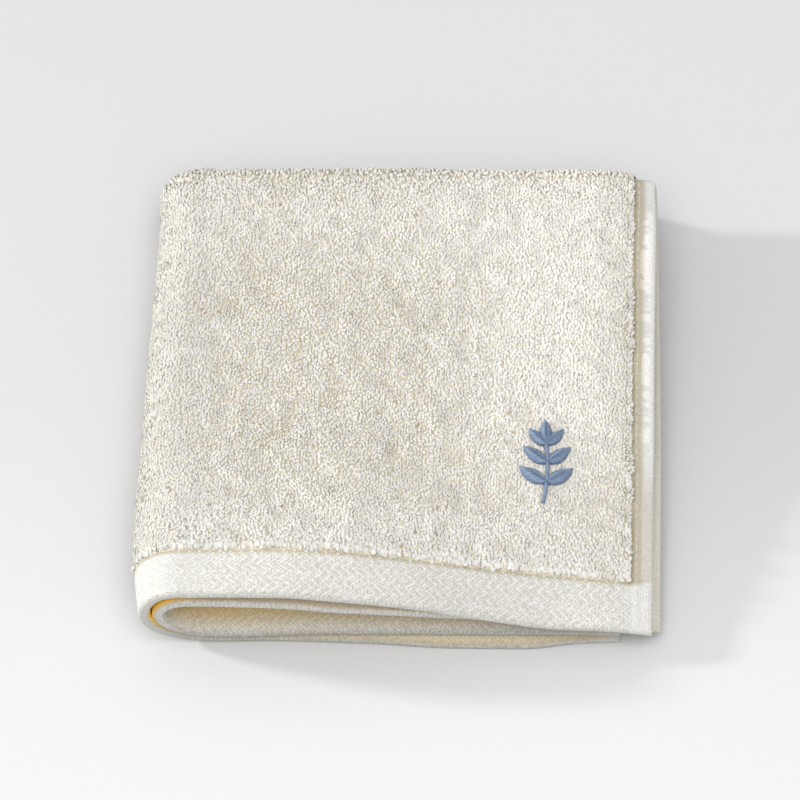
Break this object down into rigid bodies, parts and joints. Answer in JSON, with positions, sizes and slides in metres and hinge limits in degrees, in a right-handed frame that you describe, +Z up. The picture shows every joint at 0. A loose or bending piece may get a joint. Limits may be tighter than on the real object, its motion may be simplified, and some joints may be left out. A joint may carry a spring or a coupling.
{
  "type": "folded washcloth",
  "caption": "Square terry washcloth folded in half twice, with flat woven borders, narrow hems and a small sewn leaf sprig.",
  "frame": {"origin": "on the surface it lies on, under the middle of the folded cloth", "axes": "+X from the long side fold to the free side edges, +Y from the free bordered edges to the far folds, +Z up"},
  "size_m": [0.1694, 0.1704, 0.0316],
  "materials": {
    "terry": "looped cotton pile, undyed warm white",
    "thread": "satin stitch in dull blue thread"
  },
  "bodies": {
    "root": {"washcloth": "terry", "leaf_sprig": "thread"}
  },
  "joints": []
}
